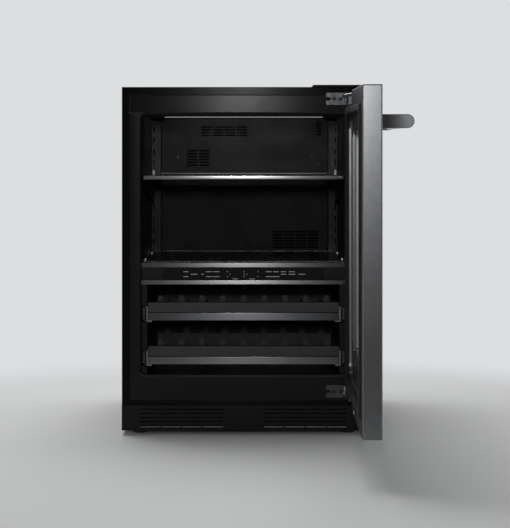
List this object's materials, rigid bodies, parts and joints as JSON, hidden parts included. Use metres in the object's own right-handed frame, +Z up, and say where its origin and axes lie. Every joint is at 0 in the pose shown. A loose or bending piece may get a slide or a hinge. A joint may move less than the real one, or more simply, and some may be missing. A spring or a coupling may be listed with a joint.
{
  "type": "wine cooler",
  "caption": "Undercounter wine cooler with a glazed hinged door, a hung glass shelf above a control divider and pull-out bottle racks on telescopic slides.",
  "frame": {"origin": "on the floor, in the middle of the plan of the whole cooler as it stands at rest with its door open at 90 degrees", "axes": "+X across the cabinet towards the hinge side, +Y from the front towards the back, +Z up"},
  "size_m": [0.6718, 1.1984, 0.8727],
  "materials": {
    "case_black": "satin",
    "liner_black": "satin",
    "dark_grey": "satin",
    "gloss_black": "gloss",
    "divider_grey": "satin",
    "insulation": "matte",
    "stainless": "satin",
    "door_stainless": "satin",
    "chrome": "polished",
    "zinc": "satin",
    "coil_aluminium": "satin",
    "coil_copper": "satin",
    "glass": "gloss",
    "rubber": "matte",
    "circuit_board": "satin",
    "light_lens": "satin"
  },
  "bodies": {
    "cabinet": {"outer_case": "case_black", "rear_panel": "zinc", "base_pan": "zinc", "kick_grille": "case_black", "inner_liner": "liner_black", "foam_insulation": "insulation", "header_panel": "gloss_black", "hinge_cover_plate": "case_black", "ceiling_light": "light_lens", "rear_duct_panel": "liner_black", "shelf_track_left": "liner_black", "shelf_track_right": "liner_black", "evaporator": "coil_aluminium", "divider_body": "divider_grey", "divider_front_trim": "stainless", "control_panel": "gloss_black", "control_board": "circuit_board", "control_lower_trim": "stainless", "shelf_glass": "glass", "shelf_front_trim": "stainless", "shelf_bracket_left": "case_black", "shelf_bracket_right": "case_black", "compressor": "case_black", "condenser_coil": "coil_copper", "condenser_fan_shroud": "dark_grey", "drain_pan": "dark_grey", "power_inlet": "liner_black", "hinge_bracket_top": "zinc", "hinge_bracket_bottom": "zinc", "levelling_leg_front_left": "rubber", "levelling_leg_front_right": "rubber", "levelling_leg_rear_left": "rubber", "levelling_leg_rear_right": "rubber", "upper_slide_fixed_left": "zinc", "upper_slide_fixed_right": "zinc", "lower_slide_fixed_left": "zinc", "lower_slide_fixed_right": "zinc"},
    "door": {"hinge_cup_top": "zinc", "hinge_cup_bottom": "zinc", "door_frame": "door_stainless", "door_glass_outer": "glass", "glazing_spacer": "coil_aluminium", "door_glass_inner": "glass", "door_inner_frame": "liner_black", "door_gasket": "rubber", "handle_bar": "stainless", "handle_bracket_hinge_side": "stainless", "handle_bracket_latch_side": "stainless"},
    "upper_rack": {"upper_rack_frame": "case_black", "upper_rack_fascia": "dark_grey", "upper_rack_trim": "stainless"},
    "upper_slides": {"upper_slide_middle_left": "chrome", "upper_slide_middle_right": "chrome"},
    "lower_rack": {"lower_rack_frame": "case_black", "lower_rack_fascia": "dark_grey", "lower_rack_trim": "stainless"},
    "lower_slides": {"lower_slide_middle_left": "chrome", "lower_slide_middle_right": "chrome"},
    "evaporator_fan_rotor": {"evaporator_fan": "liner_black"},
    "condenser_fan_rotor": {"condenser_fan": "liner_black"}
  },
  "joints": [
    {"name": "door_hinge", "type": "hinge", "parent": "cabinet", "child": "door", "pos_m": [0.2525, -0.01075, 0.4765], "axis": [0, 0, 1], "range_deg": [-90, 18]},
    {"name": "upper_rack_slide", "type": "slide", "parent": "cabinet", "child": "upper_rack", "axis": [0, -1, 0], "range_m": [0, 0.32]},
    {"name": "upper_middle_slide", "type": "slide", "parent": "cabinet", "child": "upper_slides", "axis": [0, -1, 0], "range_m": [0, 0.16]},
    {"name": "lower_rack_slide", "type": "slide", "parent": "cabinet", "child": "lower_rack", "axis": [0, -1, 0], "range_m": [0, 0.26]},
    {"name": "lower_middle_slide", "type": "slide", "parent": "cabinet", "child": "lower_slides", "axis": [0, -1, 0], "range_m": [0, 0.13]},
    {"name": "evaporator_fan_spin", "type": "hinge", "parent": "cabinet", "child": "evaporator_fan_rotor", "pos_m": [-0.0899, 0.50485, 0.735], "axis": [0, 1, 0], "continuous": true},
    {"name": "condenser_fan_spin", "type": "hinge", "parent": "cabinet", "child": "condenser_fan_rotor", "pos_m": [-0.1879, 0.15985, 0.066], "axis": [0, 1, 0], "continuous": true}
  ],
  "couplings": [
    {"joint": "upper_middle_slide", "follows": "upper_rack_slide", "ratio": 0.5},
    {"joint": "lower_middle_slide", "follows": "lower_rack_slide", "ratio": 0.5}
  ]
}
